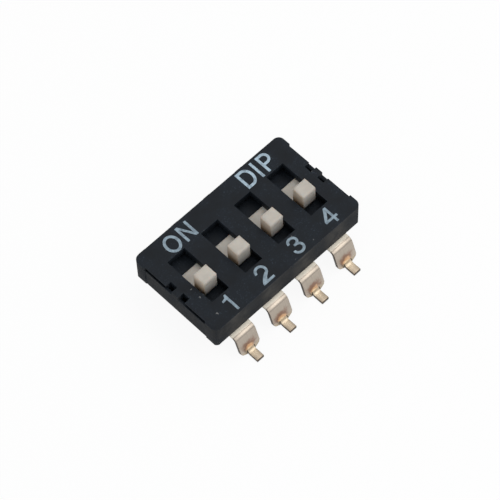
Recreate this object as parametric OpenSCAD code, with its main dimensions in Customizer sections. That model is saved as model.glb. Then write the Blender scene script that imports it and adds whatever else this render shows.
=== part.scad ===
// Four-position surface-mount slide switch block, built as its real pieces:
// a snap-on cover, a moulded base that carries eight terminals, and four
// sliders, each with its own sprung bridge contact.
// Frame: Z up, the solder feet stand on z = 0, X runs along the row from
// position 1 to position 4, and +Y points to the closed ("on") side.

/* [Row] */
// Distance between neighbouring positions
pitch = 2.54; // [2.3:0.02:3.2]
// From the centre of the first or last slot to the end of the cover
end_margin = 1.82; // [1.8:0.01:2.6]

/* [Cover] */
// Width of the cover across the row
cover_w = 6.48; // [6.3:0.02:8]
// Height of the cover from its lower edge to its top face
cover_h = 1.75; // [1.65:0.01:2.2]
// Height of the cover's lower edge above the board
cover_stand = 1.8; // [1.75:0.01:2.4]
// Thickness of the top plate
plate_t = 0.55; // [0.45:0.01:0.65]
// Thickness of the long side walls
side_wall = 0.45; // [0.35:0.01:0.5]
// Thickness of the end walls at the top
end_wall = 0.53; // [0.5:0.01:0.65]
// Radius of the cover's upright corners
corner_r = 0.4; // [0.2:0.01:0.6]
// How far each end wall leans in from top to bottom
end_draft = 0.05; // [0:0.01:0.12]
// How far each long side wall leans in from top to bottom
side_draft = 0.04; // [0:0.01:0.1]

/* [Slots] */
// Width of each slot
slot_w = 1.3; // [1.2:0.01:1.5]
// Length of each slot
slot_l = 3.52; // [3.3:0.01:4.2]

/* [Cover ends] */
// Width of the full corner post beside each end panel
corner_post = 0.87; // [0.7:0.01:1.2]
// How far the end panel stands back from the corner posts
panel_d = 0.04; // [0.02:0.01:0.08]
// How far the edge of the top plate stands back from the corner posts
lip_d = 0.1; // [0.08:0.01:0.14]
// Thickness of the top plate's edge over the groove
lip_t = 0.06; // [0.04:0.01:0.1]
// Height of the top plate's face above the end panel
groove_h = 0.27; // [0.2:0.01:0.35]
// Depth of the groove behind the edge
groove_d = 0.2; // [0.1:0.01:0.22]
// How far the groove's floor and roof slope
groove_slope = 0.12; // [0:0.01:0.12]
// Width of each latch pocket
latch_w = 0.5; // [0.35:0.01:0.6]
// Distance between the two latch pockets of one end, centre to centre
latch_pitch = 0.98; // [0.9:0.01:1.4]
// Depth of a latch pocket, outward from the cavity
latch_d = 0.3; // [0.2:0.01:0.34]
// How far the pocket's notch cuts into the edge of the top plate
notch_d = 0.38; // [0.25:0.01:0.42]
// Height of the catch that is left under each latch pocket
catch_h = 0.42; // [0.3:0.01:0.5]

/* [Sliders] */
// Width of the knob along the row
knob_w = 0.96; // [0.8:0.01:1.1]
// Length of the knob along its travel
knob_l = 0.88; // [0.7:0.01:0.95]
// Height of the knob's top above the cover
knob_rise = 0.82; // [0.4:0.01:1.2]
// Depth of the knob's underside below the cover's top face
knob_sink = 0.4; // [0.3:0.01:0.45]
// Distance of the knob's centre from the middle of the slot, open position
knob_off = 0.58; // [0.5:0.005:0.6]
// Radius of the knob's upright edges and of its side edges on top
knob_r = 0.08; // [0.03:0.01:0.15]
// Radius of the knob's top edge on the numbered side
brow_r = 0.14; // [0.05:0.01:0.3]
// Radius of the knob's top edge on the closed side
back_r = 0.08; // [0.03:0.01:0.15]
// Travel of each slider from open to closed
travel = 1.05; // [0.95:0.01:1.1]
// Width of the slider's flange, which runs under the top plate
flange_w = 1.7; // [1.5:0.01:1.8]
// Thickness of the flange
flange_t = 0.28; // [0.2:0.01:0.32]
// Length of the flange past the knob on the closed side
flange_tail = 0.98; // [0.85:0.01:1]
// How far the knob overhangs its neck on the numbered side
knob_heel = 0.22; // [0.12:0.01:0.24]
// Width of the stem below the flange
stem_w = 0.8; // [0.6:0.01:0.9]
// Depth of the stem below the flange
stem_h = 0.37; // [0.3:0.01:0.42]
// Diameter of the peg that holds the bridge contact
peg_d = 0.2; // [0.15:0.01:0.22]
// Diameter of the peg's staked head
head_d = 0.32; // [0.24:0.01:0.34]
// Thickness of the staked head
head_t = 0.06; // [0.04:0.01:0.1]

/* [Bridge contacts] */
// Thickness of the contact strip
strip_t = 0.08; // [0.06:0.01:0.1]
// Width of the contact strip
strip_w = 0.9; // [0.7:0.01:1]
// Length of the bridge from leg to leg
bridge_l = 0.62; // [0.56:0.01:0.64]
// Outer radius of the bend at the top of each leg
bridge_r = 0.12; // [0.1:0.01:0.14]
// Outer radius of the curled toe
toe_r = 0.1; // [0.085:0.005:0.11]

/* [Base] */
// Height of the base's underside above the board
stand_off = 0.15; // [0.1:0.01:0.3]
// How far the trunk under the cover stands back from each long side
trunk_side = 0.77; // [0.7:0.01:1]
// How far the trunk under the cover stands back from each end
trunk_end = 0.83; // [0.75:0.01:1]
// Size of the trunk's bevelled lower edge
trunk_bevel = 0.15; // [0.05:0.01:0.25]
// Width of each contact pit
pit_w = 1.24; // [1.1:0.01:1.3]
// Free space around a slider, a contact or a flange as it moves
slide_gap = 0.05; // [0.03:0.01:0.08]
// Free space between pieces that are put together once
fit_gap = 0.04; // [0.02:0.01:0.06]

/* [Terminals] */
// Thickness of the terminal strip
lead_t = 0.2; // [0.15:0.01:0.25]
// Gap between the shoulder's top face and the cover's lower edge
lead_gap = 0.18; // [0.1:0.01:0.25]
// Width of the shoulder and leg
lead_w = 1.43; // [1.2:0.01:1.6]
// Width of the strip inside the base
pad_w = 1.0; // [0.8:0.01:1.1]
// Width of the solder foot
foot_w = 0.5; // [0.4:0.01:0.7]
// Length of the foot's flat end, from its bend to its tip
foot_l = 0.58; // [0.4:0.01:1]
// How far the shoulder runs out of the cover before it bends
shoulder_out = 0.03; // [0.01:0.01:0.3]
// Outer radius of the bend at the shoulder
shoulder_r = 0.43; // [0.24:0.01:0.5]
// Radius in the corner between leg and foot
foot_r = 0.2; // [0.1:0.01:0.25]
// Angle by which the leg leans outward from upright
leg_lean = 18; // [5:1:22]
// Height of the leg's lower corners
taper_top = 0.32; // [0.2:0.01:0.5]
// Height of the leg's lower edge where it reaches the foot
taper_end = 0.1; // [0.02:0.01:0.15]
// Size of the bevel on the leg's lower corners
leg_corner = 0.1; // [0.02:0.01:0.15]
// Width of the slit on each side of the foot, which frees it to bend
slit_w = 0.04; // [0.03:0.01:0.08]
// Distance between the two pads in a pit
pad_gap = 0.2; // [0.15:0.01:0.25]

/* [Hidden] */
$fn = 48;
positions = 4;
housing_black = [0.18, 0.19, 0.2];
base_black = [0.14, 0.145, 0.15];
knob_beige = [0.82, 0.78, 0.72];
contact_gold = [0.85, 0.68, 0.38];
lead_gold = [0.86, 0.76, 0.6];
// Overshoot of a cut past the face that it opens
cut = 0.5;
// Overlap that joins two stretches of bent strip
lap = 0.0002;

// Cover
cover_l = (positions - 1) * pitch + 2 * end_margin;
top_z = cover_stand + cover_h;
plate_z = top_z - plate_t;
cavity_l = cover_l - 2 * end_wall;
cavity_w = cover_w - 2 * side_wall;
post_x = cover_l / 2;
panel_x = post_x - panel_d;
lip_x = post_x - lip_d;
groove_z = top_z - groove_h;
catch_z = cover_stand + catch_h;

// Top of the terminals, under the cover's edge and at the pads alike
lead_top = cover_stand - lead_gap;

// Slider heights, from the underside of the plate down
flange_z = plate_z - slide_gap - flange_t;
land_z = flange_z - slide_gap + 0.01;
stem_z = flange_z - stem_h;
knob_z = top_z - knob_sink;
knob_top = top_z + knob_rise;

// Slider lengths, measured from the middle of the slot in the open position
knob_y0 = -knob_off - knob_l / 2;
knob_y1 = knob_y0 + knob_l;
neck_y0 = knob_y0 + knob_heel;
stem_y = (neck_y0 + knob_y1) / 2;
stem_l = knob_y1 - neck_y0 - 2 * slide_gap;
flange_y1 = knob_y1 + flange_tail;

// Contact pit: as long as the bridge and its travel need
bridge_half = bridge_l / 2;
pit_y0 = stem_y - bridge_half - slide_gap;
pit_y1 = stem_y + bridge_half + travel + 1.5 * slide_gap;
toe_half = bridge_half - toe_r;
toe_z = lead_top + slide_gap / 2;
pad_mid = stem_y + travel;

// Base
base_l = cavity_l - 2 * fit_gap;
base_w = cavity_w - 2 * fit_gap;
deck_z = lead_top - lead_t - fit_gap;
trunk_l = cover_l - 2 * trunk_end;
trunk_w = cover_w - 2 * trunk_side;
rib_w = pitch - flange_w - 2 * slide_gap;
rib_z = plate_z - fit_gap;
end_block_x = (positions - 1) * pitch / 2 + flange_w / 2 + slide_gap;

// Terminal profile, as distances out from the middle of the row
bend_y = cover_w / 2 + shoulder_out;
leg_drop = lead_top - lead_t - (shoulder_r + foot_r) * (1 - sin(leg_lean));
leg_l = leg_drop / cos(leg_lean);
knee_y = bend_y + shoulder_r * cos(leg_lean);
ankle_y = knee_y + leg_l * sin(leg_lean);
heel_y = ankle_y + foot_r * cos(leg_lean);
tip_y = heel_y + foot_l;
// How far the slits beside the foot run up past its bend
slit_top = 1.5 * slit_w;

// Middle of position i along the row, counted from 0
function row_x(i) = (i - (positions - 1) / 2) * pitch;

// Flat outline of a plate with rounded corners
module round_rect(l, w, r) {
    square([l - 2 * r, w], center = true);
    square([l, w - 2 * r], center = true);
    for (sx = [-1, 1], sy = [-1, 1])
        translate([sx * (l / 2 - r), sy * (w / 2 - r)]) circle(r);
}

// Box given by its low and high corners
module span_box(lo, hi) {
    translate(lo) cube(hi - lo);
}

// Flat shape drawn as (y, z), pulled along X to the given width
module pull_x(w) {
    translate([-w / 2, 0, 0]) rotate([90, 0, 90]) linear_extrude(w) children();
}

// Flat shape drawn as (x, z), pulled along Y to the given width
module pull_y(w) {
    translate([0, w / 2, 0]) rotate([90, 0, 0]) linear_extrude(w) children();
}

// Slice of a pie from angle a0 to a1, at most half a turn
module pie(r, a0, a1) {
    reach = 2 * r;
    mid = (a0 + a1) / 2;
    polygon([
        [0, 0],
        reach * [cos(a0), sin(a0)],
        reach * [cos(mid), sin(mid)],
        reach * [cos(a1), sin(a1)]
    ]);
}

// Bent stretch of strip: part of a ring from angle a0 to a1
module strip_bend(outer, thick, a0, a1) {
    intersection() {
        difference() {
            circle(outer);
            circle(outer - thick);
        }
        pie(outer, a0, a1);
    }
}

// ---- Cover ----

// Upright outline of the cover, narrower by the draft at its lower edge
module drafted(half, draft) {
    polygon([
        [-half + draft, cover_stand], [half - draft, cover_stand],
        [half, top_z], [-half, top_z]
    ]);
}

module cover_shell() {
    intersection() {
        translate([0, 0, cover_stand])
            linear_extrude(cover_h) round_rect(cover_l, cover_w, corner_r);
        pull_y(cover_w + 2 * cut) drafted(cover_l / 2, end_draft);
        pull_x(cover_l + 2 * cut) drafted(cover_w / 2, side_draft);
    }
}

// What is cut away between the corner posts of the +X end: the panel's
// setback and, above it, the groove under the edge of the top plate
module end_recess() {
    pull_y(cover_w - 2 * corner_post)
        polygon([
            [lip_x, top_z + cut], [lip_x, top_z - lip_t],
            [lip_x - groove_d, top_z - lip_t - groove_slope],
            [lip_x - groove_d, groove_z - groove_slope],
            [lip_x, groove_z], [panel_x, groove_z],
            [panel_x - end_draft, cover_stand], [panel_x - end_draft, cover_stand - cut],
            [post_x + cut, cover_stand - cut], [post_x + cut, top_z + cut]
        ]);
}

// Solid tongue between the two notches, which bridges the groove
module end_tongue() {
    tongue_w = latch_pitch - latch_w;
    span_box(
        [lip_x - groove_d, -tongue_w / 2, groove_z - groove_slope],
        [panel_x, tongue_w / 2, top_z]
    );
}

// Pockets over the latches and their notches in the plate's edge, +X end
module latch_pockets() {
    low_x = cavity_l / 2 - fit_gap;
    out_x = cavity_l / 2 + latch_d;
    notch_x = lip_x - notch_d;
    for (s = [-1, 1])
        translate([0, s * latch_pitch / 2, 0]) pull_y(latch_w)
            polygon([
                [low_x, catch_z], [out_x, catch_z], [out_x, groove_z],
                [post_x + cut, groove_z], [post_x + cut, top_z + cut],
                [notch_x, top_z + cut], [notch_x, plate_z], [low_x, plate_z]
            ]);
}

module cover() {
    color(housing_black) {
        difference() {
            cover_shell();
            translate([-cavity_l / 2, -cavity_w / 2, cover_stand - cut])
                cube([cavity_l, cavity_w, plate_z - cover_stand + cut]);
            for (i = [0:positions - 1])
                translate([row_x(i) - slot_w / 2, -slot_l / 2, plate_z - cut])
                    cube([slot_w, slot_l, plate_t + 2 * cut]);
            for (m = [0, 1]) mirror([m, 0, 0]) {
                difference() {
                    end_recess();
                    end_tongue();
                }
                latch_pockets();
            }
        }
    }
}

// ---- Base ----

module trunk() {
    half = trunk_w / 2;
    pull_x(trunk_l)
        polygon([
            [-half + trunk_bevel, stand_off], [half - trunk_bevel, stand_off],
            [half, stand_off + trunk_bevel], [half, deck_z + fit_gap],
            [-half, deck_z + fit_gap], [-half, stand_off + trunk_bevel]
        ]);
}

// Ribs between the sliders and a block beyond the last one at each end
module guide_ribs() {
    for (i = [0:positions - 2])
        translate([row_x(i) + pitch / 2 - rib_w / 2, -base_w / 2, land_z - cut])
            cube([rib_w, base_w, rib_z - land_z + cut]);
    for (m = [0, 1]) mirror([m, 0, 0])
        span_box([end_block_x, -base_w / 2, land_z - cut], [base_l / 2, base_w / 2, rib_z]);
}

// Hooks that snap into the cover's pockets, +X end
module latch_hooks() {
    reach = latch_d - 2 * fit_gap;
    hook_w = latch_w - 2 * fit_gap;
    hook_z = catch_z + fit_gap;
    root = (end_block_x + base_l / 2) / 2;
    tip = cavity_l / 2 + reach;
    for (s = [-1, 1])
        translate([0, s * latch_pitch / 2, 0]) pull_y(hook_w)
            polygon([
                [root, hook_z], [tip, hook_z],
                [tip, hook_z + reach / 4], [base_l / 2, hook_z + 1.25 * reach],
                [root, hook_z + 1.25 * reach]
            ]);
}

module base() {
    color(base_black) {
        difference() {
            union() {
                trunk();
                span_box([-base_l / 2, -base_w / 2, deck_z], [base_l / 2, base_w / 2, land_z]);
                guide_ribs();
                for (m = [0, 1]) mirror([m, 0, 0]) latch_hooks();
            }
            for (i = [0:positions - 1]) translate([row_x(i), 0, 0]) {
                span_box([-pit_w / 2, pit_y0, lead_top], [pit_w / 2, pit_y1, land_z + cut]);
                open_strip();
                closed_strip();
            }
        }
    }
}

// ---- Terminals ----

// Flat strip through the base, numbered side
module open_strip() {
    span_box([-pad_w / 2, -bend_y, lead_top - lead_t],
             [pad_w / 2, pad_mid - pad_gap / 2, lead_top]);
}

// Flat strip through the base, closed side
module closed_strip() {
    span_box([-pad_w / 2, pad_mid + pad_gap / 2, lead_top - lead_t],
             [pad_w / 2, bend_y, lead_top]);
}

// Flat shape placed in the leg's own frame: leaning as the leg does, with
// the knee at height 0 and the leg's inner face at shoulder_r - lead_t
module along_leg() {
    translate([bend_y, lead_top - shoulder_r]) rotate(leg_lean) children();
}

// Side view of the shoulder and leg as (distance out, height)
module leg_profile() {
    translate([base_w / 2, lead_top - lead_t]) square([bend_y - base_w / 2, lead_t]);
    translate([bend_y, lead_top - shoulder_r])
        strip_bend(shoulder_r, lead_t, leg_lean, 90);
    along_leg() translate([shoulder_r - lead_t, -leg_l - cut])
        square([lead_t, leg_l + cut + lap]);
}

// Side view of the foot, bent out of the middle of the leg's lower end
module foot_profile() {
    along_leg() translate([shoulder_r - lead_t, -leg_l - lap])
        square([lead_t, lap + 2 * slit_top]);
    translate([heel_y, lead_t + foot_r])
        strip_bend(foot_r + lead_t, lead_t, 180 + leg_lean, 270);
    translate([heel_y, 0]) square([foot_l, lead_t]);
}

// Front view of the leg: full width down to its bevelled corners, then a
// shallow point
module leg_outline() {
    low = [foot_w / 2, taper_end];
    corner = [lead_w / 2, taper_top];
    bevel = corner + leg_corner * (low - corner) / norm(low - corner);
    side = [low, bevel, corner + [0, leg_corner], [corner.x, lead_top + cut]];
    polygon([
        for (p = side) p,
        for (i = [len(side) - 1:-1:0]) [-side[i].x, side[i].y]
    ]);
}

// Outer part of a terminal, leading out along +Y
module lead_out() {
    difference() {
        intersection() {
            pull_x(lead_w) leg_profile();
            translate([0, tip_y / 2, 0]) pull_y(tip_y + 2 * cut) leg_outline();
        }
        pull_x(foot_w + 2 * slit_w) along_leg()
            translate([-cut, slit_top - leg_l - 2 * cut])
                square([shoulder_r + 2 * cut, 2 * cut]);
    }
    pull_x(foot_w) foot_profile();
}

// Terminal n: 1 to 4 along the numbered side, 5 to 8 back along the other
module terminal(n) {
    numbered = n <= positions;
    i = numbered ? n - 1 : 2 * positions - n;
    color(lead_gold) translate([row_x(i), 0, 0]) {
        if (numbered) {
            open_strip();
            mirror([0, 1, 0]) lead_out();
        } else {
            closed_strip();
            lead_out();
        }
    }
}

// ---- Sliders ----

// Knob with its upright edges and top edges rounded, each by its own radius
module knob() {
    h = knob_top - knob_z;
    translate([0, knob_y0 + knob_l / 2, knob_z]) intersection() {
        linear_extrude(h) round_rect(knob_w, knob_l, knob_r);
        pull_y(knob_l + cut) rounded_top(knob_w, h, knob_r, knob_r);
        pull_x(knob_w + cut) rounded_top(knob_l, h, brow_r, back_r);
    }
}

// Upright outline with its two top corners rounded, r0 on the low side
module rounded_top(w, h, r0, r1) {
    difference() {
        translate([-w / 2, 0]) square([w, h]);
        translate([-w / 2, h]) corner_cut(r0, 0);
        translate([w / 2, h]) corner_cut(r1, 1);
    }
}

// What a rounding takes away from an upper corner at the origin
module corner_cut(r, side) {
    mirror([side, 0]) difference() {
        translate([-cut, -r]) square([r + cut, r + cut]);
        translate([r, -r]) circle(r);
        translate([r, -2 * r]) square([cut, cut + 2 * r]);
    }
}

module slider(n) {
    color(knob_beige) translate([row_x(n - 1), 0, 0]) {
        knob();
        translate([0, (neck_y0 + knob_y1) / 2, flange_z])
            linear_extrude(knob_z - flange_z + knob_r)
                round_rect(knob_w, knob_y1 - neck_y0, knob_r);
        span_box([-flange_w / 2, neck_y0, flange_z],
                 [flange_w / 2, flange_y1, flange_z + flange_t]);
        span_box([-stem_w / 2, stem_y - stem_l / 2, stem_z],
                 [stem_w / 2, stem_y + stem_l / 2, flange_z + flange_t / 2]);
        translate([0, stem_y, stem_z - strip_t - head_t / 2])
            cylinder(d = peg_d, h = strip_t + (head_t + stem_h) / 2);
        translate([0, stem_y, stem_z - strip_t - head_t])
            cylinder(d = head_d, h = head_t);
    }
}

// ---- Bridge contacts ----

// Half of the bridge's side view, leg on the high side, from its top centre
module bridge_half_profile() {
    leg_z = stem_z - bridge_r;
    toe_mid = toe_z + toe_r;
    translate([0, stem_z - strip_t]) square([bridge_half - bridge_r, strip_t]);
    translate([bridge_half - bridge_r, leg_z]) strip_bend(bridge_r, strip_t, 0, 90);
    translate([bridge_half - strip_t, toe_mid]) square([strip_t, leg_z - toe_mid]);
    translate([toe_half, toe_mid]) strip_bend(toe_r, strip_t, -90, 0);
    translate([toe_half, toe_mid]) strip_bend(toe_r, strip_t, -180, -90);
}

module contact(n) {
    color(contact_gold) translate([row_x(n - 1), stem_y, 0]) difference() {
        pull_x(strip_w) {
            bridge_half_profile();
            mirror([1, 0]) bridge_half_profile();
        }
        translate([0, 0, stem_z - 2 * strip_t])
            cylinder(d = peg_d + fit_gap / 2, h = 4 * strip_t);
    }
}

cover();
base();
slider(1);  // slider_1
slider(2);  // slider_2
slider(3);  // slider_3
slider(4);  // slider_4
contact(1);  // contact_1
contact(2);  // contact_2
contact(3);  // contact_3
contact(4);  // contact_4
terminal(1);  // terminal_1
terminal(2);  // terminal_2
terminal(3);  // terminal_3
terminal(4);  // terminal_4
terminal(5);  // terminal_5
terminal(6);  // terminal_6
terminal(7);  // terminal_7
terminal(8);  // terminal_8
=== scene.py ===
from math import cos, radians, sin

import bmesh
import bpy
from mathutils import Matrix, Vector


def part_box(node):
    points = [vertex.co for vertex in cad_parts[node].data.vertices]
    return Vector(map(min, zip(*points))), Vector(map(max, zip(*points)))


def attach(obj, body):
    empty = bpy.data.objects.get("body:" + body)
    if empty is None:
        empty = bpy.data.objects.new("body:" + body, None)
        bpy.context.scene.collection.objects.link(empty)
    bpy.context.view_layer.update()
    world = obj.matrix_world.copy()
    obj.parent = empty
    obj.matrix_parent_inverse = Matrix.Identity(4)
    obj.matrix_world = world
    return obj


bl_info = {
    "name": "Slide Switch Block",
    "version": (1, 0, 0),
    "blender": (4, 5, 0),
    "location": "View3D > Sidebar > Switch Block",
    "description": "Finishes, legend and studio for a surface-mount slide switch block",
    "category": "Object",
}

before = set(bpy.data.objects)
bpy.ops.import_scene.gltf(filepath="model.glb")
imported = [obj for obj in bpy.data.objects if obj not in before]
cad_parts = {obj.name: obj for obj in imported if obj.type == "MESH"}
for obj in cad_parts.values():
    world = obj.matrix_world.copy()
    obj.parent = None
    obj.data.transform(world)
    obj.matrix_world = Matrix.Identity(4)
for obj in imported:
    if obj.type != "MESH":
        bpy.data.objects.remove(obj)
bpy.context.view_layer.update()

MM = 0.001
POSITIONS = 4
SLIDERS = [f"slider_{n}" for n in range(1, POSITIONS + 1)]
CONTACTS = [f"contact_{n}" for n in range(1, POSITIONS + 1)]
TERMINALS = [f"terminal_{n}" for n in range(1, 2 * POSITIONS + 1)]

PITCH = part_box("terminal_2")[0].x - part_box("terminal_1")[0].x
FOOT_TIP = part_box("terminal_5")[1].y
# Outer radius and middle of the bend at a terminal's shoulder
SHOULDER_BEND = 0.43 * MM
SHOULDER_Y = 3.27 * MM
SHOULDER_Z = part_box("terminal_1")[1].z - SHOULDER_BEND

DUST_COLOUR = (0.27, 0.27, 0.265)
ROLLING_DEPTH = 0.0008 * MM
# Patches on a terminal's leg: brown tarnish (smudge, beside), an orange tint round the heel,
# and a painted highlight (bare) in the middle of that tint. Each gives its middle across and up,
# half its width and height in mm, and how softly it ends
LEG_PATCHES = {
    "smudge": (-0.05, 0.66, 0.50, 0.30, 0.5),
    "beside": (0.31, 0.86, 0.13, 0.24, 0.4),
    "heel": (-0.02, 0.46, 0.27, 0.22, 0.4),
    "bare": (-0.09, 0.41, 0.17, 0.11, 0.4),
}
RAGGED_RIM = 1.7


# ---------------------------------------------------------------- sizes and colours


class CoverLook(bpy.types.PropertyGroup):
    colour: bpy.props.FloatVectorProperty(
        name="Plastic", description="Colour of the moulded cover",
        subtype="COLOR", size=3, min=0, max=1, default=(0.0074, 0.0102, 0.0142),
    )
    # Partly real haze, partly a painted reflection of the plated shoulders by the terminals
    haze_and_painted_light: bpy.props.FloatVectorProperty(
        name="Haze", description="Greyish haze in patches on the cover's walls",
        subtype="COLOR", size=3, min=0, max=1, default=(0.057, 0.0545, 0.051),
    )
    base_lift: bpy.props.FloatProperty(
        name="Base lift", description="How much paler the base's plastic is than the cover's",
        default=1.35, min=0.5, max=3,
    )
    grain_size: bpy.props.FloatProperty(
        name="Grain size", description="Width of one grain of the moulded surface",
        subtype="DISTANCE", default=0.08 * MM, min=0.01 * MM, max=1 * MM,
    )
    edge_round: bpy.props.FloatProperty(
        name="Edge round", description="Width of the small rounding on every moulded edge",
        subtype="DISTANCE", default=0.03 * MM, min=0, max=0.1 * MM,
    )
    wear: bpy.props.FloatProperty(
        name="Edge wear", description="How much of the rubbed edges shows",
        subtype="FACTOR", default=0.45, min=0, max=1,
    )


class LegendLook(bpy.types.PropertyGroup):
    ink: bpy.props.FloatVectorProperty(
        name="Ink", description="Colour of the printed legend",
        subtype="COLOR", size=3, min=0, max=1, default=(0.264, 0.339, 0.396),
    )
    heavy: bpy.props.FloatProperty(
        name="Heavy print", description="How much paler the characters are that took more ink",
        default=1.45, min=1, max=2,
    )
    film: bpy.props.FloatProperty(
        name="Film", description="Thickness of the ink on the cover",
        subtype="DISTANCE", default=0.006 * MM, min=0.001 * MM, max=0.05 * MM,
    )


class SliderLook(bpy.types.PropertyGroup):
    colour: bpy.props.FloatVectorProperty(
        name="Plastic", description="Colour of the sliders",
        subtype="COLOR", size=3, min=0, max=1, default=(0.490, 0.452, 0.400),
    )
    soft_corner: bpy.props.FloatProperty(
        name="Soft corner", description="Radius over which the corners catch the light",
        subtype="DISTANCE", default=0.24 * MM, min=0, max=0.4 * MM,
    )
    # Painted shade: grey laid on the faces that look along the slot, more of it low down
    painted_shade: bpy.props.FloatVectorProperty(
        name="Grime", description="Grey of the handled faces that a fingertip pushes",
        subtype="COLOR", size=3, min=0, max=1, default=(0.14, 0.14, 0.14),
    )
    # Painted shade: a warmer tone on the faces beside the slot's walls
    painted_warm_shade: bpy.props.FloatVectorProperty(
        name="Warm side", description="Yellower tone of the faces beside the slot's walls",
        subtype="COLOR", size=3, min=0, max=1, default=(0.66, 0.52, 0.38),
    )
    # Painted shade: brown low down on the faces beside the slot's walls
    painted_low_shade: bpy.props.FloatVectorProperty(
        name="Stain", description="Brown that gathers low on the faces beside the slot's walls",
        subtype="COLOR", size=3, min=0, max=1, default=(0.23, 0.155, 0.095),
    )
    edge_round: bpy.props.FloatProperty(
        name="Edge round", description="Width of the small rounding on the flange and knob edges",
        subtype="DISTANCE", default=0.03 * MM, min=0, max=0.1 * MM,
    )


class MetalLook(bpy.types.PropertyGroup):
    plating: bpy.props.FloatVectorProperty(
        name="Plating", description="Colour of the plated faces",
        subtype="COLOR", size=3, min=0, max=1, default=(0.50, 0.435, 0.365),
    )
    # The matt band's pale colour is a painted highlight where the strip leaves the base
    matt_painted_highlight: bpy.props.FloatVectorProperty(
        name="Matt band", description="Pale dull plating where the strip leaves the base",
        subtype="COLOR", size=3, min=0, max=1, default=(1.0, 0.92, 0.78),
    )
    warm: bpy.props.FloatVectorProperty(
        name="Heel tint", description="Orange tint of the plating round the foot's bend",
        subtype="COLOR", size=3, min=0, max=1, default=(0.84, 0.54, 0.32),
    )
    # The bare heel is a painted highlight: a bright patch in the middle of the heel's tint
    bare: bpy.props.FloatVectorProperty(
        name="Bare heel", description="Bright plating left bare in the middle of the heel's tint",
        subtype="COLOR", size=3, min=0, max=1, default=(1.0, 0.86, 0.66),
    )
    gold: bpy.props.FloatVectorProperty(
        name="Foot's root", description="Yellow tint of the plating in the foot's bend",
        subtype="COLOR", size=3, min=0, max=1, default=(0.60, 0.50, 0.37),
    )
    foot: bpy.props.FloatVectorProperty(
        name="Foot", description="Duller plating of the foot",
        subtype="COLOR", size=3, min=0, max=1, default=(0.40, 0.33, 0.25),
    )
    smudge: bpy.props.FloatVectorProperty(
        name="Smudge", description="Brown of the tarnish above the foot's bend",
        subtype="COLOR", size=3, min=0, max=1, default=(0.30, 0.17, 0.12),
    )
    sheared: bpy.props.FloatVectorProperty(
        name="Sheared edge", description="Colour of the darker cut edges of the strip",
        subtype="COLOR", size=3, min=0, max=1, default=(0.055, 0.038, 0.025),
    )
    edge_round: bpy.props.FloatProperty(
        name="Edge round", description="Width of the rounding on the strip's edges",
        subtype="DISTANCE", default=0.015 * MM, min=0, max=0.1 * MM,
    )


class StudioLook(bpy.types.PropertyGroup):
    azimuth: bpy.props.FloatProperty(
        name="Azimuth",
        description="Where the camera stands, turned from the numbered side towards position 1",
        subtype="ANGLE", default=radians(42.62),
    )
    elevation: bpy.props.FloatProperty(
        name="Elevation", description="Height of the camera above the horizon",
        subtype="ANGLE", default=radians(60.458),
    )
    roll: bpy.props.FloatProperty(
        name="Roll", description="Turn of the camera about its own line of sight",
        subtype="ANGLE", default=radians(-2.358),
    )
    distance: bpy.props.FloatProperty(
        name="Distance", description="From the camera to the point it looks at",
        subtype="DISTANCE", default=136.75 * MM,
    )
    lens: bpy.props.FloatProperty(
        name="Lens", description="Focal length on a 36 mm wide sensor",
        subtype="DISTANCE_CAMERA", default=180, min=10, max=500,
    )
    aim: bpy.props.FloatVectorProperty(
        name="Aim", description="Point on the cover's top face that the camera looks at",
        subtype="TRANSLATION", size=2, default=(-0.732 * MM, -0.906 * MM),
    )
    floor: bpy.props.FloatVectorProperty(
        name="Floor", description="Colour of the pale floor",
        subtype="COLOR", size=3, min=0, max=1, default=(0.86, 0.86, 0.86),
    )
    sky: bpy.props.FloatProperty(
        name="Sky", description="Strength of the even light from all round",
        default=0.74, min=0, max=2,
    )
    top_lamp: bpy.props.FloatProperty(
        name="Top lamp", description="Power of the soft lamp overhead",
        subtype="POWER", default=0.0185, min=0, max=5,
    )
    key_lamp: bpy.props.FloatProperty(
        name="Key lamp", description="Power of the soft lamp on the numbered side",
        subtype="POWER", default=0.031, min=0, max=5,
    )


# The scene's property for each group
LOOKS = {
    "switch_cover": CoverLook,
    "switch_legend": LegendLook,
    "switch_sliders": SliderLook,
    "switch_metal": MetalLook,
    "switch_studio": StudioLook,
}


# ---------------------------------------------------------------- node helpers


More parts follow.
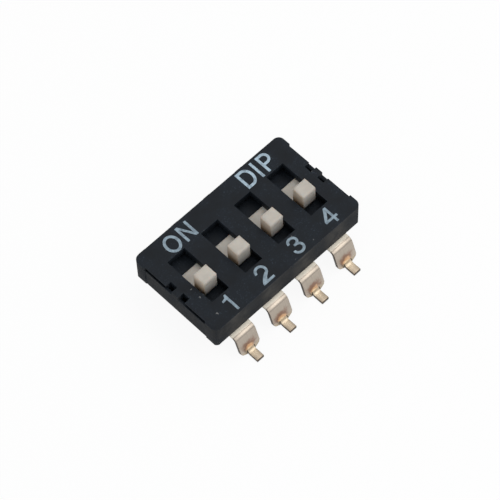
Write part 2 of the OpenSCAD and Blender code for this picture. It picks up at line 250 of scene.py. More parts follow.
class Graph:
    """Adds nodes to a tree: a keyword sets a property, and an input takes a value or a socket."""

    def __init__(self, tree):
        self.tree = tree

    def link(self, source, target):
        self.tree.links.new(source, target)

    def plug(self, socket, value):
        """Links a socket's source, or sets the socket to a plain value."""
        if isinstance(value, bpy.types.NodeSocket):
            self.link(value, socket)
        elif socket.type == "RGBA":
            socket.default_value = (*value[:3], 1)
        else:
            socket.default_value = value

    def add(self, kind, inputs=None, **props):
        node = self.tree.nodes.new(kind)
        for key, value in props.items():
            setattr(node, key, value)
        for key, value in (inputs or {}).items():
            self.plug(node.inputs[key], value)
        return node

    def effect(self, name, inputs):
        """Places a shared effect with its own values."""
        return self.add("ShaderNodeGroup", inputs, node_tree=shared(name)).outputs

    def place(self):
        """Where the point lies on the object, in metres."""
        return self.add("ShaderNodeTexCoord").outputs["Object"]

    def facing(self):
        """Which way the face looks."""
        return self.add("ShaderNodeNewGeometry").outputs["Normal"]

    def split(self, vector):
        """X, Y and Z of a vector."""
        return self.add("ShaderNodeSeparateXYZ", {0: vector}).outputs

    def math(self, operation, a, b=0.0, c=0.0):
        return self.add("ShaderNodeMath", {0: a, 1: b, 2: c}, operation=operation).outputs[0]

    def absolute(self, value):
        """The value without its sign."""
        return self.math("ABSOLUTE", value)

    def times(self, first, *others):
        """Product of masks and numbers."""
        for other in others:
            first = self.math("MULTIPLY", first, other)
        return first

    def ramp(self, value, low, high, to_low=0.0, to_high=1.0):
        """Soft step: to_low where the value is at low, to_high where it is at high."""
        inputs = {
            "Value": value, "From Min": low, "From Max": high, "To Min": to_low, "To Max": to_high,
        }
        return self.add(
            "ShaderNodeMapRange", inputs, interpolation_type="SMOOTHSTEP"
        ).outputs["Result"]

    def blend(self, factor, a, b):
        """Colour a where the factor is 0, colour b where it is 1."""
        inputs = {0: factor, 6: a, 7: b}
        return self.add("ShaderNodeMix", inputs, data_type="RGBA", blend_type="MIX").outputs[2]

    def noise(self, vector, scale, detail=2.0, roughness=0.5):
        inputs = {"Vector": vector, "Scale": scale, "Detail": detail, "Roughness": roughness}
        return self.add("ShaderNodeTexNoise", inputs).outputs["Fac"]

    def bump(self, height, depth, over=None):
        """Relief of that height and depth, over the face's own normal or the one given."""
        inputs = {"Height": height, "Distance": depth, "Strength": 1.0}
        if over:
            inputs["Normal"] = over
        return self.add("ShaderNodeBump", inputs).outputs[0]


def tinted(colour, factor):
    """The colour made darker or paler."""
    return tuple(min(1, c * factor) for c in colour)


def new_material(name, tint):
    """Empty material with its shader in place."""
    material = bpy.data.materials.new(name)
    material.use_nodes = True
    material.diffuse_color = (*tint, 1)
    material.node_tree.nodes.clear()
    graph = Graph(material.node_tree)
    output = graph.add("ShaderNodeOutputMaterial")
    shader = graph.add("ShaderNodeBsdfPrincipled")
    graph.link(shader.outputs[0], output.inputs["Surface"])
    return material, graph, shader


def feed(graph, shader, **inputs):
    """Sets the shader's inputs, named by keyword as Base_Color."""
    for key, value in inputs.items():
        graph.plug(shader.inputs[key.replace("_", " ")], value)


# ---------------------------------------------------------------- shared effects


def new_group(name, inputs, outputs):
    """Empty node group; an input is its name, default, lowest and highest value."""
    tree = bpy.data.node_groups.new(name, "ShaderNodeTree")
    for label, default, low, high in inputs:
        socket = tree.interface.new_socket(label, in_out="INPUT", socket_type="NodeSocketFloat")
        socket.default_value, socket.min_value, socket.max_value = default, low, high
    for label in outputs:
        tree.interface.new_socket(label, in_out="OUTPUT", socket_type="NodeSocketFloat")
    graph = Graph(tree)
    entry = graph.add("NodeGroupInput").outputs
    leave = graph.add("NodeGroupOutput").inputs
    return graph, entry, leave


def grain_group():
    """Fine moulded grain and the slow mottling that goes with it."""
    graph, entry, leave = new_group(
        "Moulded Grain",
        [("Grains per metre", 10000, 1, 1e6), ("Patches per metre", 700, 1, 1e5)],
        ["Height", "Mottle", "Fleck"],
    )
    noise_share, cell_share = 0.6, 0.4
    mottle_levels = (0.3, 0.7)
    fleck_levels, fleck_patch_levels = (0.57, 0.72), (0.42, 0.6)

    place = graph.place()
    fine = graph.noise(place, entry["Grains per metre"], 3, 0.6)
    cells = graph.add(
        "ShaderNodeTexVoronoi",
        {"Vector": place, "Scale": entry["Grains per metre"], "Randomness": 1.0},
        feature="SMOOTH_F1",
    ).outputs["Distance"]
    height = graph.math("ADD", graph.times(fine, noise_share), graph.times(cells, cell_share))
    slow = graph.noise(place, entry["Patches per metre"], 4, 0.55)
    fleck = graph.times(graph.ramp(fine, *fleck_levels), graph.ramp(slow, *fleck_patch_levels))
    graph.link(height, leave["Height"])
    graph.link(graph.ramp(slow, *mottle_levels), leave["Mottle"])
    graph.link(fleck, leave["Fleck"])
    return graph.tree


def wear_group():
    """Mask of the rubbed edges, broken up so that it isn't a drawn line."""
    graph, entry, leave = new_group(
        "Edge Wear",
        [("Reach", 0.04 * MM, 0, 0.01), ("Breaks per metre", 4000, 1, 1e6), ("Amount", 0.5, 0, 1)],
        ["Mask"],
    )
    flat_face, sharp_edge = 0.998, 0.90
    break_levels = (0.35, 0.65)

    soft = graph.add("ShaderNodeBevel", {"Radius": entry["Reach"]}, samples=6).outputs[0]
    lean = graph.add(
        "ShaderNodeVectorMath", {0: graph.facing(), 1: soft}, operation="DOT_PRODUCT"
    ).outputs["Value"]
    edge = graph.ramp(lean, flat_face, sharp_edge)
    breaks = graph.noise(graph.place(), entry["Breaks per metre"], 3, 0.6)
    mask = graph.times(edge, graph.ramp(breaks, *break_levels), entry["Amount"])
    graph.link(mask, leave["Mask"])
    return graph.tree


def dust_group():
    """A few pale specks of uneven strength, settled on faces that look up."""
    graph, entry, leave = new_group(
        "Settled Dust",
        [("Specks per metre", 900, 1, 1e5), ("Size", 0.06, 0, 1), ("Share", 0.25, 0, 1)],
        ["Mask"],
    )
    crumple, crumples_per_metre = 0.3 * MM, 6000.0
    solid_share = 0.5
    faintest = 0.3
    level_face = 0.7

    place = graph.place()
    wander = graph.add(
        "ShaderNodeTexNoise", {"Vector": place, "Scale": crumples_per_metre}
    ).outputs["Color"]
    ragged = graph.add(
        "ShaderNodeVectorMath", {0: wander, 1: (crumple,) * 3, 2: place}, operation="MULTIPLY_ADD"
    ).outputs[0]
    cell = graph.add(
        "ShaderNodeTexVoronoi", {"Vector": ragged, "Scale": entry["Specks per metre"]},
        voronoi_dimensions="2D",
    ).outputs
    inside = graph.ramp(cell["Distance"], entry["Size"], graph.times(entry["Size"], solid_share))
    pick = graph.add("ShaderNodeSeparateColor", {"Color": cell["Color"]}).outputs
    chosen = graph.math("LESS_THAN", pick["Red"], entry["Share"])
    strength = graph.ramp(pick["Green"], 0, 1, faintest, 1.0)
    level = graph.math("GREATER_THAN", graph.split(graph.facing())["Z"], level_face)
    graph.link(graph.times(inside, chosen, strength, level), leave["Mask"])
    return graph.tree


def haze_and_painted_light_group():
    """Mask of the upright outer walls, and the patches of haze on them.

    On the long walls the patches are thickest by the terminals, where they are a painted
    reflection of the plated shoulders.
    """
    graph, entry, leave = new_group(
        "Wall Haze And Painted Light",
        [("Half length", 5 * MM, 0, 1), ("Half width", 3 * MM, 0, 1),
         ("Spacing", 2.54 * MM, 0, 1), ("Patches per metre", 900, 1, 1e5),
         ("Amount", 0.8, 0, 1), ("End share", 0.4, 0, 1)],
        ["Wall", "Mask"],
    )
    upright_levels, outer_levels, long_levels = (0.7, 0.4), (0.94, 0.97), (0.5, 0.9)
    patch_levels, thinnest_patch = (0.34, 0.66), 0.45
    by_terminal = 0.44
    far_off, close_by, far_share = 0.42, 0.06, 0.35

    place = graph.place()
    spot = graph.split(place)
    facing = graph.split(graph.facing())
    along = graph.math("DIVIDE", graph.absolute(spot["X"]), entry["Half length"])
    across = graph.math("DIVIDE", graph.absolute(spot["Y"]), entry["Half width"])
    outer = graph.ramp(graph.math("MAXIMUM", along, across), *outer_levels)
    wall = graph.times(graph.ramp(graph.absolute(facing["Z"]), *upright_levels), outer)
    graph.link(wall, leave["Wall"])

    patch = graph.noise(place, entry["Patches per metre"], 4, 0.55)
    patch = graph.ramp(patch, *patch_levels, thinnest_patch, 1.0)
    # Painted reflection: on the long walls the patches thicken by each terminal's plated shoulder
    along_pitch = graph.math("FRACT", graph.math("DIVIDE", spot["X"], entry["Spacing"]))
    off = graph.absolute(graph.math("SUBTRACT", along_pitch, by_terminal))
    painted_reflection = graph.ramp(off, far_off, close_by, far_share, 1.0)
    long_side = graph.ramp(graph.absolute(facing["Y"]), *long_levels)
    end_side = graph.math("SUBTRACT", 1.0, long_side)
    share = graph.math(
        "MAXIMUM", graph.times(long_side, painted_reflection), graph.times(end_side, entry["End share"])
    )
    graph.link(graph.times(wall, patch, share, entry["Amount"]), leave["Mask"])
    return graph.tree


def strip_group():
    """Rolling marks that run along a strip, with blotches over them."""
    graph, entry, leave = new_group(
        "Rolled Strip",
        [("Lines per metre", 30000, 1, 1e6), ("Blotches per metre", 1500, 1, 1e5)],
        ["Height", "Tone", "Blotch", "Raw Blotch"],
    )
    drawn_out = (1.0, 0.04, 0.04)
    tone_levels, blotch_levels = (0.3, 0.7), (0.42, 0.68)

    place = graph.place()
    drawn = graph.add("ShaderNodeMapping", {"Vector": place, "Scale": drawn_out}).outputs[0]
    lines = graph.noise(drawn, entry["Lines per metre"], 3, 0.6)
    blotch = graph.noise(place, entry["Blotches per metre"], 4, 0.6)
    graph.link(lines, leave["Height"])
    graph.link(graph.ramp(lines, *tone_levels), leave["Tone"])
    graph.link(graph.ramp(blotch, *blotch_levels), leave["Blotch"])
    graph.link(blotch, leave["Raw Blotch"])
    return graph.tree


def ink_group():
    """Mask of the places that took enough ink."""
    graph, entry, leave = new_group("Sparse Ink", [("Gaps per metre", 5200, 1, 1e6)], ["Mask"])
    ink_levels = (0.34, 0.56)
    sparse = graph.noise(graph.place(), entry["Gaps per metre"], 3, 0.6)
    graph.link(graph.ramp(sparse, *ink_levels), leave["Mask"])
    return graph.tree


def shared(name):
    """The shared node group of that name, made once."""
    makers = {
        "Moulded Grain": grain_group,
        "Edge Wear": wear_group,
        "Settled Dust": dust_group,
        "Wall Haze And Painted Light": haze_and_painted_light_group,
        "Rolled Strip": strip_group,
        "Sparse Ink": ink_group,
    }
    return bpy.data.node_groups.get(name) or makers[name]()


# ---------------------------------------------------------------- finishes


def moulded_black(name, look, lift=1.0):
    """Black moulding compound: fine grain, pale flecks, rubbed edges, dust, and hazy walls with a
    painted reflection by the terminals.
    """
    dark, pale, fleck, rubbed = (
        tinted(look.colour, lift * factor) for factor in (0.75, 1.3, 4.0, 6.0)
    )
    dust_strength = 0.6
    smooth_patch, rough_patch, rough_wall = 0.48, 0.60, 0.25
    low_gloss = 0.16
    grain_depth = 0.005 * MM

    material, graph, shader = new_material(name, look.colour)
    grain = graph.effect(
        "Moulded Grain", {"Grains per metre": 1 / look.grain_size, "Patches per metre": 900}
    )
    wear = graph.effect(
        "Edge Wear", {"Reach": 0.04 * MM, "Breaks per metre": 5000, "Amount": look.wear}
    )
    dust = graph.effect(
        "Settled Dust", {"Specks per metre": 1300, "Size": 0.075, "Share": 0.08}
    )
    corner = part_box("cover")[1]
    haze_and_painted_light = graph.effect(
        "Wall Haze And Painted Light",
        {"Half length": corner.x, "Half width": corner.y, "Spacing": PITCH,
         "Patches per metre": 1500, "Amount": 0.85, "End share": 0.38},
    )
    colour = graph.blend(grain["Mottle"], dark, pale)
    colour = graph.blend(grain["Fleck"], colour, fleck)
    colour = graph.blend(wear["Mask"], colour, rubbed)
    colour = graph.blend(graph.times(dust["Mask"], dust_strength), colour, DUST_COLOUR)
    # Haze on the walls: partly real, partly a painted reflection of the plated shoulders by the
    # terminals
    colour = graph.blend(haze_and_painted_light["Mask"], colour, look.haze_and_painted_light)
    rough = graph.ramp(grain["Mottle"], 0, 1, smooth_patch, rough_patch)
    rough = graph.math("MULTIPLY_ADD", haze_and_painted_light["Wall"], rough_wall, rough)
    feed(
        graph, shader, Base_Color=colour, Roughness=rough, Specular_IOR_Level=low_gloss,
        Normal=graph.bump(grain["Height"], grain_depth),
    )
    return material


def slider_cream(name, look):
    """Cream moulding compound, slightly translucent, with painted shade on its sides, more of it
    low down.
    """
    dark, pale, rubbed = (tinted(look.colour, factor) for factor in (0.94, 1.05, 0.80))
    unshaded_rim, shade_depth = 0.10 * MM, 1.0 * MM
    side_levels = (0.5, 0.9)
    painted_shade_at_top, painted_shade_low_down = 0.15, 0.45
    warm_strength = 0.45
    smooth_patch, rough_patch = 0.46, 0.56
    grain_depth = 0.003 * MM

    material, graph, shader = new_material(name, look.colour)
    grain = graph.effect("Moulded Grain", {"Grains per metre": 9000, "Patches per metre": 1600})
    wear = graph.effect(
        "Edge Wear", {"Reach": 0.05 * MM, "Breaks per metre": 6000, "Amount": 0.3}
    )
    colour = graph.blend(grain["Mottle"], dark, pale)
    colour = graph.blend(wear["Mask"], colour, rubbed)

    facing = graph.split(graph.facing())
    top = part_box(SLIDERS[0])[1].z
    # Painted shade: grey on the faces that look along the slot, warmth on the faces beside its
    # walls and brown low on those; the grey and the brown grow towards the bottom
    low = graph.ramp(graph.split(graph.place())["Z"], top - unshaded_rim, top - shade_depth)
    front_and_back = graph.ramp(graph.absolute(facing["Y"]), *side_levels)
    painted_shade = graph.times(front_and_back, graph.ramp(low, 0, 1, painted_shade_at_top, painted_shade_low_down))
    colour = graph.blend(painted_shade, colour, look.painted_shade)
    beside = graph.ramp(graph.absolute(facing["X"]), *side_levels)
    colour = graph.blend(graph.times(beside, warm_strength), colour, look.painted_warm_shade)
    colour = graph.blend(graph.times(beside, low), colour, look.painted_low_shade)

    soft = graph.add("ShaderNodeBevel", {"Radius": look.soft_corner}, samples=12).outputs[0]
    feed(
        graph, shader, Base_Color=colour,
        Roughness=graph.ramp(grain["Mottle"], 0, 1, smooth_patch, rough_patch),
        Specular_IOR_Level=0.4,
        Subsurface_Weight=0.25, Subsurface_Scale=0.2 * MM, Subsurface_Radius=(1.0, 0.6, 0.4),
        Normal=graph.bump(grain["Height"], grain_depth, soft),
    )
    return material


def strip_metal(graph, look, strip):
    """Colour of the flat plated faces, with their rolling lines."""
    dark, pale = tinted(look.plating, 0.92), tinted(look.plating, 1.06)
    return graph.blend(strip["Tone"], dark, pale)


def contact_plating(look):
    """Bare rolled strip of the bridge contacts."""
    smooth_line, rough_line = 0.24, 0.34
    material, graph, shader = new_material("Contact plating", look.plating)
    strip = graph.effect("Rolled Strip", {"Lines per metre": 26000, "Blotches per metre": 1700})
    feed(
        graph, shader, Base_Color=strip_metal(graph, look, strip), Metallic=1.0,
        Roughness=graph.ramp(strip["Tone"], 0, 1, smooth_line, rough_line),
        Normal=graph.bump(strip["Height"], ROLLING_DEPTH),
    )
    return material


def painted_dark_band(graph, turn, angle, width):
    """Painted dark band in the shoulder's reflection, at that angle of the shoulder's bend, in
    degrees.
    """
    off = graph.absolute(graph.math("SUBTRACT", turn, radians(angle)))
    return graph.ramp(off, radians(width), 0.0)


def tarnish(graph, across, height, ragged, patch):
    """Mask of a LEG_PATCHES patch (tarnish, tint and painted highlight alike): 1 inside, 0
    outside, with a ragged rim.
    """
    x, z, wide, tall, blur = patch
    dx = graph.math("DIVIDE", graph.math("SUBTRACT", across, x * MM), wide * MM)
    dz = graph.math("DIVIDE", graph.math("SUBTRACT", height, z * MM), tall * MM)
    reach = graph.math("ADD", graph.math("POWER", dx, 2.0), graph.math("POWER", dz, 2.0))
    reach = graph.math("MULTIPLY_ADD", ragged, RAGGED_RIM, graph.math("SQRT", reach))
    return graph.ramp(reach, 1 + blur, 1 - blur)


def terminal_plating(look):
    """Plated terminals: painted dark bands and highlight on the shoulder, a tinted heel with a
    painted highlight, dark sheared edges.
    """
    lower_leg, paler, paler_strength = (0.95 * MM, 0.45 * MM), 1.3, 0.5
    foot_top, smudge_strength = 0.26 * MM, 0.9
    foot_root, foot_start = (0.46 * MM, 0.34 * MM), (4.15 * MM, 4.6 * MM)
    side_levels, tip_depths = (0.6, 0.85), (0.04 * MM, 0.015 * MM)
    sheared_strength, rubbed_strength, rubbed = 0.9, 0.7, 2.0
    painted_dark_bands, line_strength, line_shade = [(19, 5), (49, 10)], 0.5, 0.5
    matt_band = (radians(16), radians(6))
    smooth_line, rough_line, rough_matt = 0.30, 0.40, 0.5
    bright_metal, matt_metal = 0.85, 0.1

    material, graph, shader = new_material("Terminal plating", look.plating)
    strip = graph.effect("Rolled Strip", {"Lines per metre": 22000, "Blotches per metre": 4200})
    wear = graph.effect(
        "Edge Wear", {"Reach": 0.08 * MM, "Breaks per metre": 7000, "Amount": 1.0}
    )

    # Where the point lies on its own terminal: across from the middle, outwards and up
    spot = graph.split(graph.place())
    along_pitch = graph.math("FRACT", graph.math("DIVIDE", spot["X"], PITCH))
    across = graph.times(graph.math("SUBTRACT", along_pitch, 0.5), PITCH)
    out = graph.absolute(spot["Y"])
    height = spot["Z"]

    # The leg: paler low down, tarnished round the foot's root, tinted round the heel, with a
    # painted highlight in that tint's middle
    colour = strip_metal(graph, look, strip)
    lower = graph.times(graph.ramp(height, *lower_leg), paler_strength)
    colour = graph.blend(lower, colour, tinted(look.plating, paler))
    ragged = graph.math("SUBTRACT", strip["Raw Blotch"], 0.5)
    smudge, beside, heel, bare = (
        tarnish(graph, across, height, ragged, LEG_PATCHES[name])
        for name in ("smudge", "beside", "heel", "bare")
    )
    smudge = graph.math("MAXIMUM", smudge, graph.times(beside, strip["Blotch"]))
    above_foot = graph.math("GREATER_THAN", height, foot_top)
    colour = graph.blend(graph.times(smudge, above_foot, smudge_strength), colour, look.smudge)
    colour = graph.blend(heel, colour, look.warm)
    # Painted highlight in the middle of the heel's tint
    colour = graph.blend(bare, colour, look.bare)

    # The foot
    colour = graph.blend(graph.ramp(height, *foot_root), colour, look.gold)
    colour = graph.blend(graph.ramp(out, *foot_start), colour, look.foot)

    # Sheared edges and the rubbed corners beside them
    side = graph.ramp(graph.absolute(graph.split(graph.facing())["X"]), *side_levels)
    tip = graph.ramp(out, *(FOOT_TIP - depth for depth in tip_depths))
    cut_edge = graph.times(graph.math("MAXIMUM", side, tip), sheared_strength)
    colour = graph.blend(cut_edge, colour, look.sheared)
    worn = graph.times(wear["Mask"], rubbed_strength)
    colour = graph.blend(worn, colour, tinted(look.sheared, rubbed))

    # The shoulder: painted dark bands in its reflection, and a painted highlight: a pale matt band
    # where the strip leaves the base
    drop = graph.math("SUBTRACT", height, SHOULDER_Z)
    reach = graph.math("SUBTRACT", out, SHOULDER_Y)
    turn = graph.math("ARCTAN2", reach, drop)
    # Painted shade: dark bands across the shoulder's reflection
    lines = graph.math("MAXIMUM", *(painted_dark_band(graph, turn, *line) for line in painted_dark_bands))
    lines = graph.times(lines, line_strength)
    colour = graph.blend(lines, colour, tinted(look.plating, line_shade))
    # Painted highlight: the matt band's pale colour stands in for a glint next to the cover's wall
    on_top = graph.math("GREATER_THAN", height, SHOULDER_Z)
    matt_painted_highlight = graph.times(graph.ramp(turn, *matt_band), on_top)
    colour = graph.blend(matt_painted_highlight, colour, look.matt_painted_highlight)

    rough = graph.ramp(strip["Tone"], 0, 1, smooth_line, rough_line)
    rough = graph.math("MAXIMUM", rough, graph.times(matt_painted_highlight, rough_matt))
    feed(
        graph, shader, Base_Color=colour, Roughness=rough,
        Metallic=graph.ramp(matt_painted_highlight, 0, 1, bright_metal, matt_metal),
        Normal=graph.bump(strip["Height"], ROLLING_DEPTH),
    )
    return material


def legend_ink(name, ink, ground):
    """Thin pad-printed ink, which lets the black through where it is sparse."""
    bare, thin, full = tinted(ground, 7), tinted(ink, 0.85), tinted(ink, 1.12)
    least_cover = 0.5
    grain_depth = 0.004 * MM

    material, graph, shader = new_material(name, ink)
    sparse = graph.effect("Sparse Ink", {"Gaps per metre": 5200})["Mask"]
    grain = graph.effect("Moulded Grain", {"Grains per metre": 12000, "Patches per metre": 2500})
    cover = graph.math("MULTIPLY_ADD", sparse, 1 - least_cover, least_cover)
    colour = graph.blend(grain["Mottle"], thin, full)
    colour = graph.blend(cover, bare, colour)
    feed(
        graph, shader, Base_Color=colour, Roughness=0.6, Specular_IOR_Level=0.3,
        Normal=graph.bump(grain["Height"], grain_depth),
    )
    return material


# ---------------------------------------------------------------- mesh helpers


def coat(node, material):
    """Gives every face of a node the same finish."""
    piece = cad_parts[node]
    piece.data.materials.clear()
    piece.data.materials.append(material)
    return piece


def soften_edges(piece, width):
    """Small rounding on the sharp edges, as every moulded or stamped edge has."""
    weld = piece.modifiers.new("Weld", "WELD")
    weld.merge_threshold = 0.0005 * MM
    edge = piece.modifiers.new("Edge round", "BEVEL")
    edge.width = width
    edge.segments = 2
    edge.limit_method = "ANGLE"
    edge.angle_limit = radians(38)
    edge.use_clamp_overlap = True
    edge.harden_normals = False
    shade = piece.modifiers.new("Shading", "WEIGHTED_NORMAL")
    shade.keep_sharp = False
    shade.weight = 60


def arc(cx, cy, rx, ry, start, end, steps=14):
    """Points on an ellipse from one angle to another, in degrees."""
    angles = [radians(start + (end - start) * i / steps) for i in range(steps + 1)]
    return [(cx + rx * cos(a), cy + ry * sin(a)) for a in angles]


# ---------------------------------------------------------------- legend characters
# Each returns its closed outlines for a width w, a height h and a stroke s.


def letter_o(w, h, s):
    cx, cy = w / 2, h / 2
    outer = arc(cx, cy, cx, cy, 0, 360, 44)[:-1]
    inner = arc(cx, cy, cx - s, cy - s, 0, 360, 44)[:-1]
    return [outer, inner]


def letter_n(w, h, s):
    d = 1.18 * s
    return [[(0, 0), (s, 0), (s, h - 1.35 * d), (w - 1.15 * s, 0), (w, 0), (w, h),
             (w - s, h), (w - s, 1.35 * d), (1.15 * s, h), (0, h)]]


def letter_d(w, h, s):
    r = 0.54 * w
    outer = [(0, h), (0, 0)] + arc(w - r, h / 2, r, h / 2, -90, 90, 22)
    inner = [(s, h - s), (s, s)] + arc(w - r, h / 2, r - s, h / 2 - s, -90, 90, 22)
    return [outer, inner]


def letter_i(w, h, s):
    return [[(0, 0), (w, 0), (w, h), (0, h)]]


def letter_p(w, h, s):
    low = 0.385 * h
    r = (h - low) / 2
    outer = [(0, h), (0, 0), (s, 0), (s, low)] + arc(w - r, low + r, r, r, -90, 90, 20)
    inner = [(s, h - s), (s, low + s)] + arc(w - r, low + r, r - s, r - s, -90, 90, 20)
    return [outer, inner]


def digit_1(w, h, s):
    return [[(w - s, 0), (w, 0), (w, h), (w - 0.72 * s, h), (w - 1.3 * s, 0.86 * h),
             (0, 0.81 * h), (0, 0.81 * h - 0.75 * s), (w - s, 0.83 * h - 0.75 * s)]]


def digit_2(w, h, s):
    r = 0.46 * w
    cx, top = w - r, h - r
    outer = arc(cx, top, r, r, 178, -38, 22)
    foot = [(0.80 * w, 0.39 * h), (0.56 * w, 0.26 * h), (0.45 * w, s),
            (0.97 * w, s), (0.97 * w, 0), (0, 0)]
    back = [(0.01 * w, 0.08 * h), (0.11 * w, 0.20 * h), (0.34 * w, 0.36 * h), (0.58 * w, 0.48 * h)]
    return [outer + foot + back + arc(cx, top, r - s, r - s, -30, 178, 22)]


def digit_3(w, h, s):
    r1, r2 = 0.455 * w, 0.5 * w
    y1, y2 = 0.73 * h, 0.3 * h
    k1, k2 = 0.27 * h, 0.3 * h
    cx, waist = 0.5 * w, 0.38 * w
    outer = arc(cx, y1, r1, k1, 184, -48, 20) + arc(cx, y2, r2, k2, 48, -186, 24)
    back = arc(cx, y2, r2 - s, k2 - s, -186, 88, 22)
    middle = [(waist, y2 + k2 - s), (waist, y1 - k1 + s)]
    return [outer + back + middle + arc(cx, y1, r1 - s, k1 - s, -88, 184, 20)]


def digit_4(w, h, s):
    stem = 0.80 * w
    bar = 0.235 * h
    outer = [(stem - s, 0), (stem, 0), (stem, bar), (w, bar), (w, bar + s), (stem, bar + s),
             (stem, h), (stem - 1.1 * s, h), (0, bar + s), (0, bar), (stem - s, bar)]
    hole = [(stem - s, bar + s), (stem - s, h - 1.9 * s), (1.35 * s, bar + s)]
    return [outer, hole]


# The characters that took more ink
HEAVY = "DIP"
# Character, outline maker, left, right, lower and upper edge and stroke, in mm on the top face
LEGEND = [
    ("O", letter_o, -3.945, -2.970, 1.805, 2.975, 0.170),
    ("N", letter_n, -2.760, -1.945, 1.855, 2.980, 0.160),
    ("D", letter_d, 1.975, 2.850, 1.875, 3.080, 0.170),
    ("I", letter_i, 3.055, 3.220, 1.875, 3.065, 0.165),
    ("P", letter_p, 3.530, 4.285, 1.880, 3.080, 0.165),
    ("1", digit_1, -4.075, -3.635, -3.070, -1.900, 0.150),
    ("2", digit_2, -1.740, -0.880, -3.055, -1.900, 0.155),
    ("3", digit_3, 0.860, 1.640, -3.050, -1.885, 0.155),
    ("4", digit_4, 3.375, 4.245, -3.030, -1.905, 0.150),
]


def printed(name, loops, place, top, film):
    """A flat print of closed outlines, lying on the face at that height."""
    curve = bpy.data.curves.new(name, "CURVE")
    curve.dimensions = "2D"
    curve.fill_mode = "BOTH"
    curve.extrude = film / 2
    for loop in loops:
        spline = curve.splines.new("POLY")
        spline.points.add(len(loop) - 1)
        spline.use_cyclic_u = True
        for point, (x, y) in zip(spline.points, loop):
            point.co = (x * MM, y * MM, 0, 1)
    maker = bpy.data.objects.new(name, curve)
    bpy.context.scene.collection.objects.link(maker)
    bpy.context.view_layer.update()
    evaluated = maker.evaluated_get(bpy.context.evaluated_depsgraph_get())
    mesh = bpy.data.meshes.new_from_object(evaluated)
    bpy.data.objects.remove(maker)
    mesh.name = name
    mesh.transform(Matrix.Translation((place[0] * MM, place[1] * MM, top + film / 2)))
    return mesh


# ---------------------------------------------------------------- operators


class SWITCH_OT_finish_cover(bpy.types.Operator):
    """Give the cover its black moulded finish and soft edges"""

    bl_idname = "switch_block.finish_cover"
    bl_label = "Finish Cover"

    def execute(self, context):
        look = context.scene.switch_cover
        soften_edges(coat("cover", moulded_black("Cover plastic", look)), look.edge_round)
        return {"FINISHED"}


class SWITCH_OT_finish_base(bpy.types.Operator):
    """Give the base under the cover its slightly paler plastic"""

    bl_idname = "switch_block.finish_base"
    bl_label = "Finish Base"

    def execute(self, context):
        look = context.scene.switch_cover
        material = moulded_black("Base plastic", look, look.base_lift)
        soften_edges(coat("base", material), look.edge_round)
        return {"FINISHED"}


class SWITCH_OT_finish_sliders(bpy.types.Operator):
    """Give the four sliders their cream plastic"""

    bl_idname = "switch_block.finish_sliders"
    bl_label = "Finish Sliders"

    def execute(self, context):
        look = context.scene.switch_sliders
        material = slider_cream("Slider plastic", look)
        for node in SLIDERS:
            soften_edges(coat(node, material), look.edge_round)
        return {"FINISHED"}


class SWITCH_OT_finish_terminals(bpy.types.Operator):
    """Give the eight terminals their plated metal"""

    bl_idname = "switch_block.finish_terminals"
    bl_label = "Finish Terminals"

    def execute(self, context):
        look = context.scene.switch_metal
        material = terminal_plating(look)
        for node in TERMINALS:
            soften_edges(coat(node, material), look.edge_round)
        return {"FINISHED"}


class SWITCH_OT_finish_contacts(bpy.types.Operator):
    """Give the four bridge contacts their thin rolled strip"""

    bl_idname = "switch_block.finish_contacts"
    bl_label = "Finish Contacts"

    def execute(self, context):
        look = context.scene.switch_metal
        material = contact_plating(look)
        for node in CONTACTS:
            soften_edges(coat(node, material), look.edge_round / 2)
        return {"FINISHED"}


class SWITCH_OT_print_legend(bpy.types.Operator):
    """Print the letters and numbers on the cover's top face"""

    bl_idname = "switch_block.print_legend"
    bl_label = "Print Legend"

    def execute(self, context):
        look = context.scene.switch_legend
        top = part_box("cover")[1].z
        ground = context.scene.switch_cover.colour
        light = legend_ink("Legend ink", look.ink, ground)
        heavy = legend_ink("Heavy legend ink", tinted(look.ink, look.heavy), ground)
        for character, outline, x0, x1, y0, y1, stroke in LEGEND:
            loops = outline(x1 - x0, y1 - y0, stroke)
            mesh = printed(f"print_{character}", loops, (x0, y0), top, look.film)
            mesh.materials.append(heavy if character in HEAVY else light)
            piece = bpy.data.objects.new(mesh.name, mesh)
            context.scene.collection.objects.link(piece)
            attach(piece, "housing")
        return {"FINISHED"}


def background_ray(graph):
    """1 for rays that show the white surroundings: seen directly, mirrored or through glass."""
    path = graph.add("ShaderNodeLightPath").outputs
    mirrored = graph.math("MAXIMUM", path["Is Glossy Ray"], path["Is Transmission Ray"])
    return graph.math("MAXIMUM", path["Is Camera Ray"], mirrored)


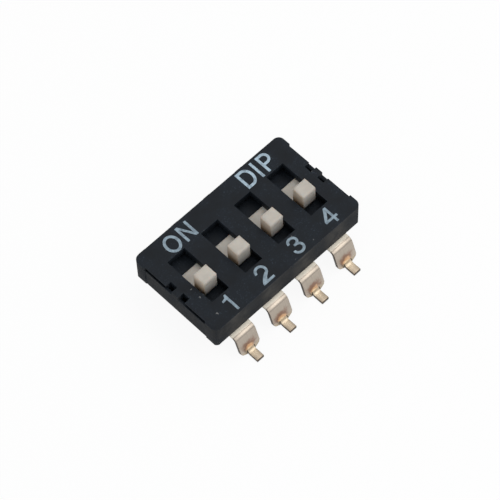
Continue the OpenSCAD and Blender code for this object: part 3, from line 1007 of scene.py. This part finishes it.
class SWITCH_OT_set_studio(bpy.types.Operator):
    """Set up the pale floor, the soft light and the camera"""

    bl_idname = "switch_block.set_studio"
    bl_label = "Set Up Studio"

    def execute(self, context):
        look = context.scene.switch_studio
        self.make_floor(context, look)
        self.make_world(context, look)
        self.make_lamps(context, look)
        self.make_camera(context, look)
        context.scene.view_settings.view_transform = "Standard"
        return {"FINISHED"}

    def make_floor(self, context, look):
        half_size = 0.6
        clear_of_feet = 0.002 * MM
        direct_white, mirrored_white = 0.92, 0.3

        work = bmesh.new()
        bmesh.ops.create_grid(work, x_segments=2, y_segments=2, size=half_size)
        mesh = bpy.data.meshes.new("floor")
        work.to_mesh(mesh)
        work.free()
        floor = bpy.data.objects.new("floor", mesh)
        floor.location.z = -clear_of_feet
        context.scene.collection.objects.link(floor)

        material, graph, shader = new_material("Pale floor", look.floor)
        feed(graph, shader, Base_Color=look.floor, Roughness=0.9, Specular_IOR_Level=0.1)
        direct = graph.add("ShaderNodeLightPath").outputs["Is Camera Ray"]
        share = graph.math(
            "MAXIMUM", graph.times(direct, direct_white),
            graph.times(background_ray(graph), mirrored_white),
        )
        white = graph.add("ShaderNodeEmission", {"Color": (1, 1, 1), "Strength": 1.0})
        mix = graph.add(
            "ShaderNodeMixShader", {0: share, 1: shader.outputs[0], 2: white.outputs[0]}
        )
        output = next(node for node in graph.tree.nodes if node.type == "OUTPUT_MATERIAL")
        graph.link(mix.outputs[0], output.inputs["Surface"])
        mesh.materials.append(material)

    def make_world(self, context, look):
        low_share, high_share = 0.8, 1.2
        sky_colour = (0.97, 0.985, 1)
        horizon_height, horizon_grey = 0.35, 0.62

        world = bpy.data.worlds.new("Studio")
        context.scene.world = world
        world.use_nodes = True
        world.node_tree.nodes.clear()
        graph = Graph(world.node_tree)
        around = graph.add("ShaderNodeTexCoord").outputs["Generated"]
        height = graph.split(around)["Z"]
        light = graph.ramp(height, 0.0, 1.0, look.sky * low_share, look.sky * high_share)
        plain = graph.add("ShaderNodeBackground", {"Color": sky_colour, "Strength": light})
        horizon = graph.ramp(height, 0.0, horizon_height, horizon_grey, 1.0)
        direct = graph.add("ShaderNodeLightPath").outputs["Is Camera Ray"]
        white = graph.math("MAXIMUM", direct, horizon)
        seen = graph.add("ShaderNodeBackground", {"Color": (1, 1, 1), "Strength": white})
        mix = graph.add(
            "ShaderNodeMixShader",
            {0: background_ray(graph), 1: plain.outputs[0], 2: seen.outputs[0]},
        )
        output = graph.add("ShaderNodeOutputWorld")
        graph.link(mix.outputs[0], output.inputs["Surface"])

    def make_lamps(self, context, look):
        # Name, power, place in mm, width in m and colour; each lamp looks at the middle
        lamps = [
            ("Top lamp", look.top_lamp, (43, -1, 123), 0.060, (1.0, 0.985, 0.96)),
            ("Key lamp", look.key_lamp, (43, -78, 95), 0.080, (1.0, 0.98, 0.95)),
        ]
        for name, power, place, width, colour in lamps:
            light = bpy.data.lights.new(name, "AREA")
            light.shape = "SQUARE"
            light.size = width
            light.energy = power
            light.color = colour
            lamp = bpy.data.objects.new(name, light)
            lamp.location = Vector(place) * MM
            lamp.rotation_euler = (-lamp.location).to_track_quat("-Z", "Y").to_euler()
            context.scene.collection.objects.link(lamp)

    def make_camera(self, context, look):
        az, el = look.azimuth, look.elevation
        back = Vector((-sin(az) * cos(el), -cos(az) * cos(el), sin(el)))
        target = Vector((look.aim[0], look.aim[1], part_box("cover")[1].z))
        data = bpy.data.cameras.new("Camera")
        data.lens = look.lens
        data.sensor_width = 36
        data.clip_start, data.clip_end = 1 * MM, 10
        camera = bpy.data.objects.new("Camera", data)
        turn = back.to_track_quat("Z", "Y").to_matrix() @ Matrix.Rotation(look.roll, 3, "Z")
        camera.matrix_world = Matrix.Translation(target + back * look.distance) @ turn.to_4x4()
        context.scene.collection.objects.link(camera)
        context.scene.camera = camera


class SWITCH_PT_sidebar(bpy.types.Panel):
    """Lists the sizes, the colours and the steps of the switch block"""

    bl_idname = "SWITCH_PT_sidebar"
    bl_label = "Switch Block"
    bl_space_type = "VIEW_3D"
    bl_region_type = "UI"
    bl_category = "Switch Block"

    def draw(self, context):
        for name, look in LOOKS.items():
            box = self.layout.box()
            for key in look.__annotations__:
                box.prop(getattr(context.scene, name), key)
        for operator in OPERATORS:
            self.layout.operator(operator.bl_idname)


OPERATORS = [
    SWITCH_OT_finish_cover,
    SWITCH_OT_finish_base,
    SWITCH_OT_finish_sliders,
    SWITCH_OT_finish_terminals,
    SWITCH_OT_finish_contacts,
    SWITCH_OT_print_legend,
    SWITCH_OT_set_studio,
]
CLASSES = [*LOOKS.values(), *OPERATORS, SWITCH_PT_sidebar]


def register():
    for cls in CLASSES:
        bpy.utils.register_class(cls)
    for name, look in LOOKS.items():
        setattr(bpy.types.Scene, name, bpy.props.PointerProperty(type=look))


def unregister():
    for name in LOOKS:
        delattr(bpy.types.Scene, name)
    for cls in reversed(CLASSES):
        bpy.utils.unregister_class(cls)


def main():
    register()
    bpy.ops.switch_block.finish_cover()
    bpy.ops.switch_block.finish_base()
    bpy.ops.switch_block.finish_sliders()
    bpy.ops.switch_block.finish_terminals()
    bpy.ops.switch_block.finish_contacts()
    bpy.ops.switch_block.print_legend()
    bpy.ops.switch_block.set_studio()


if __name__ == "__main__":
    main()
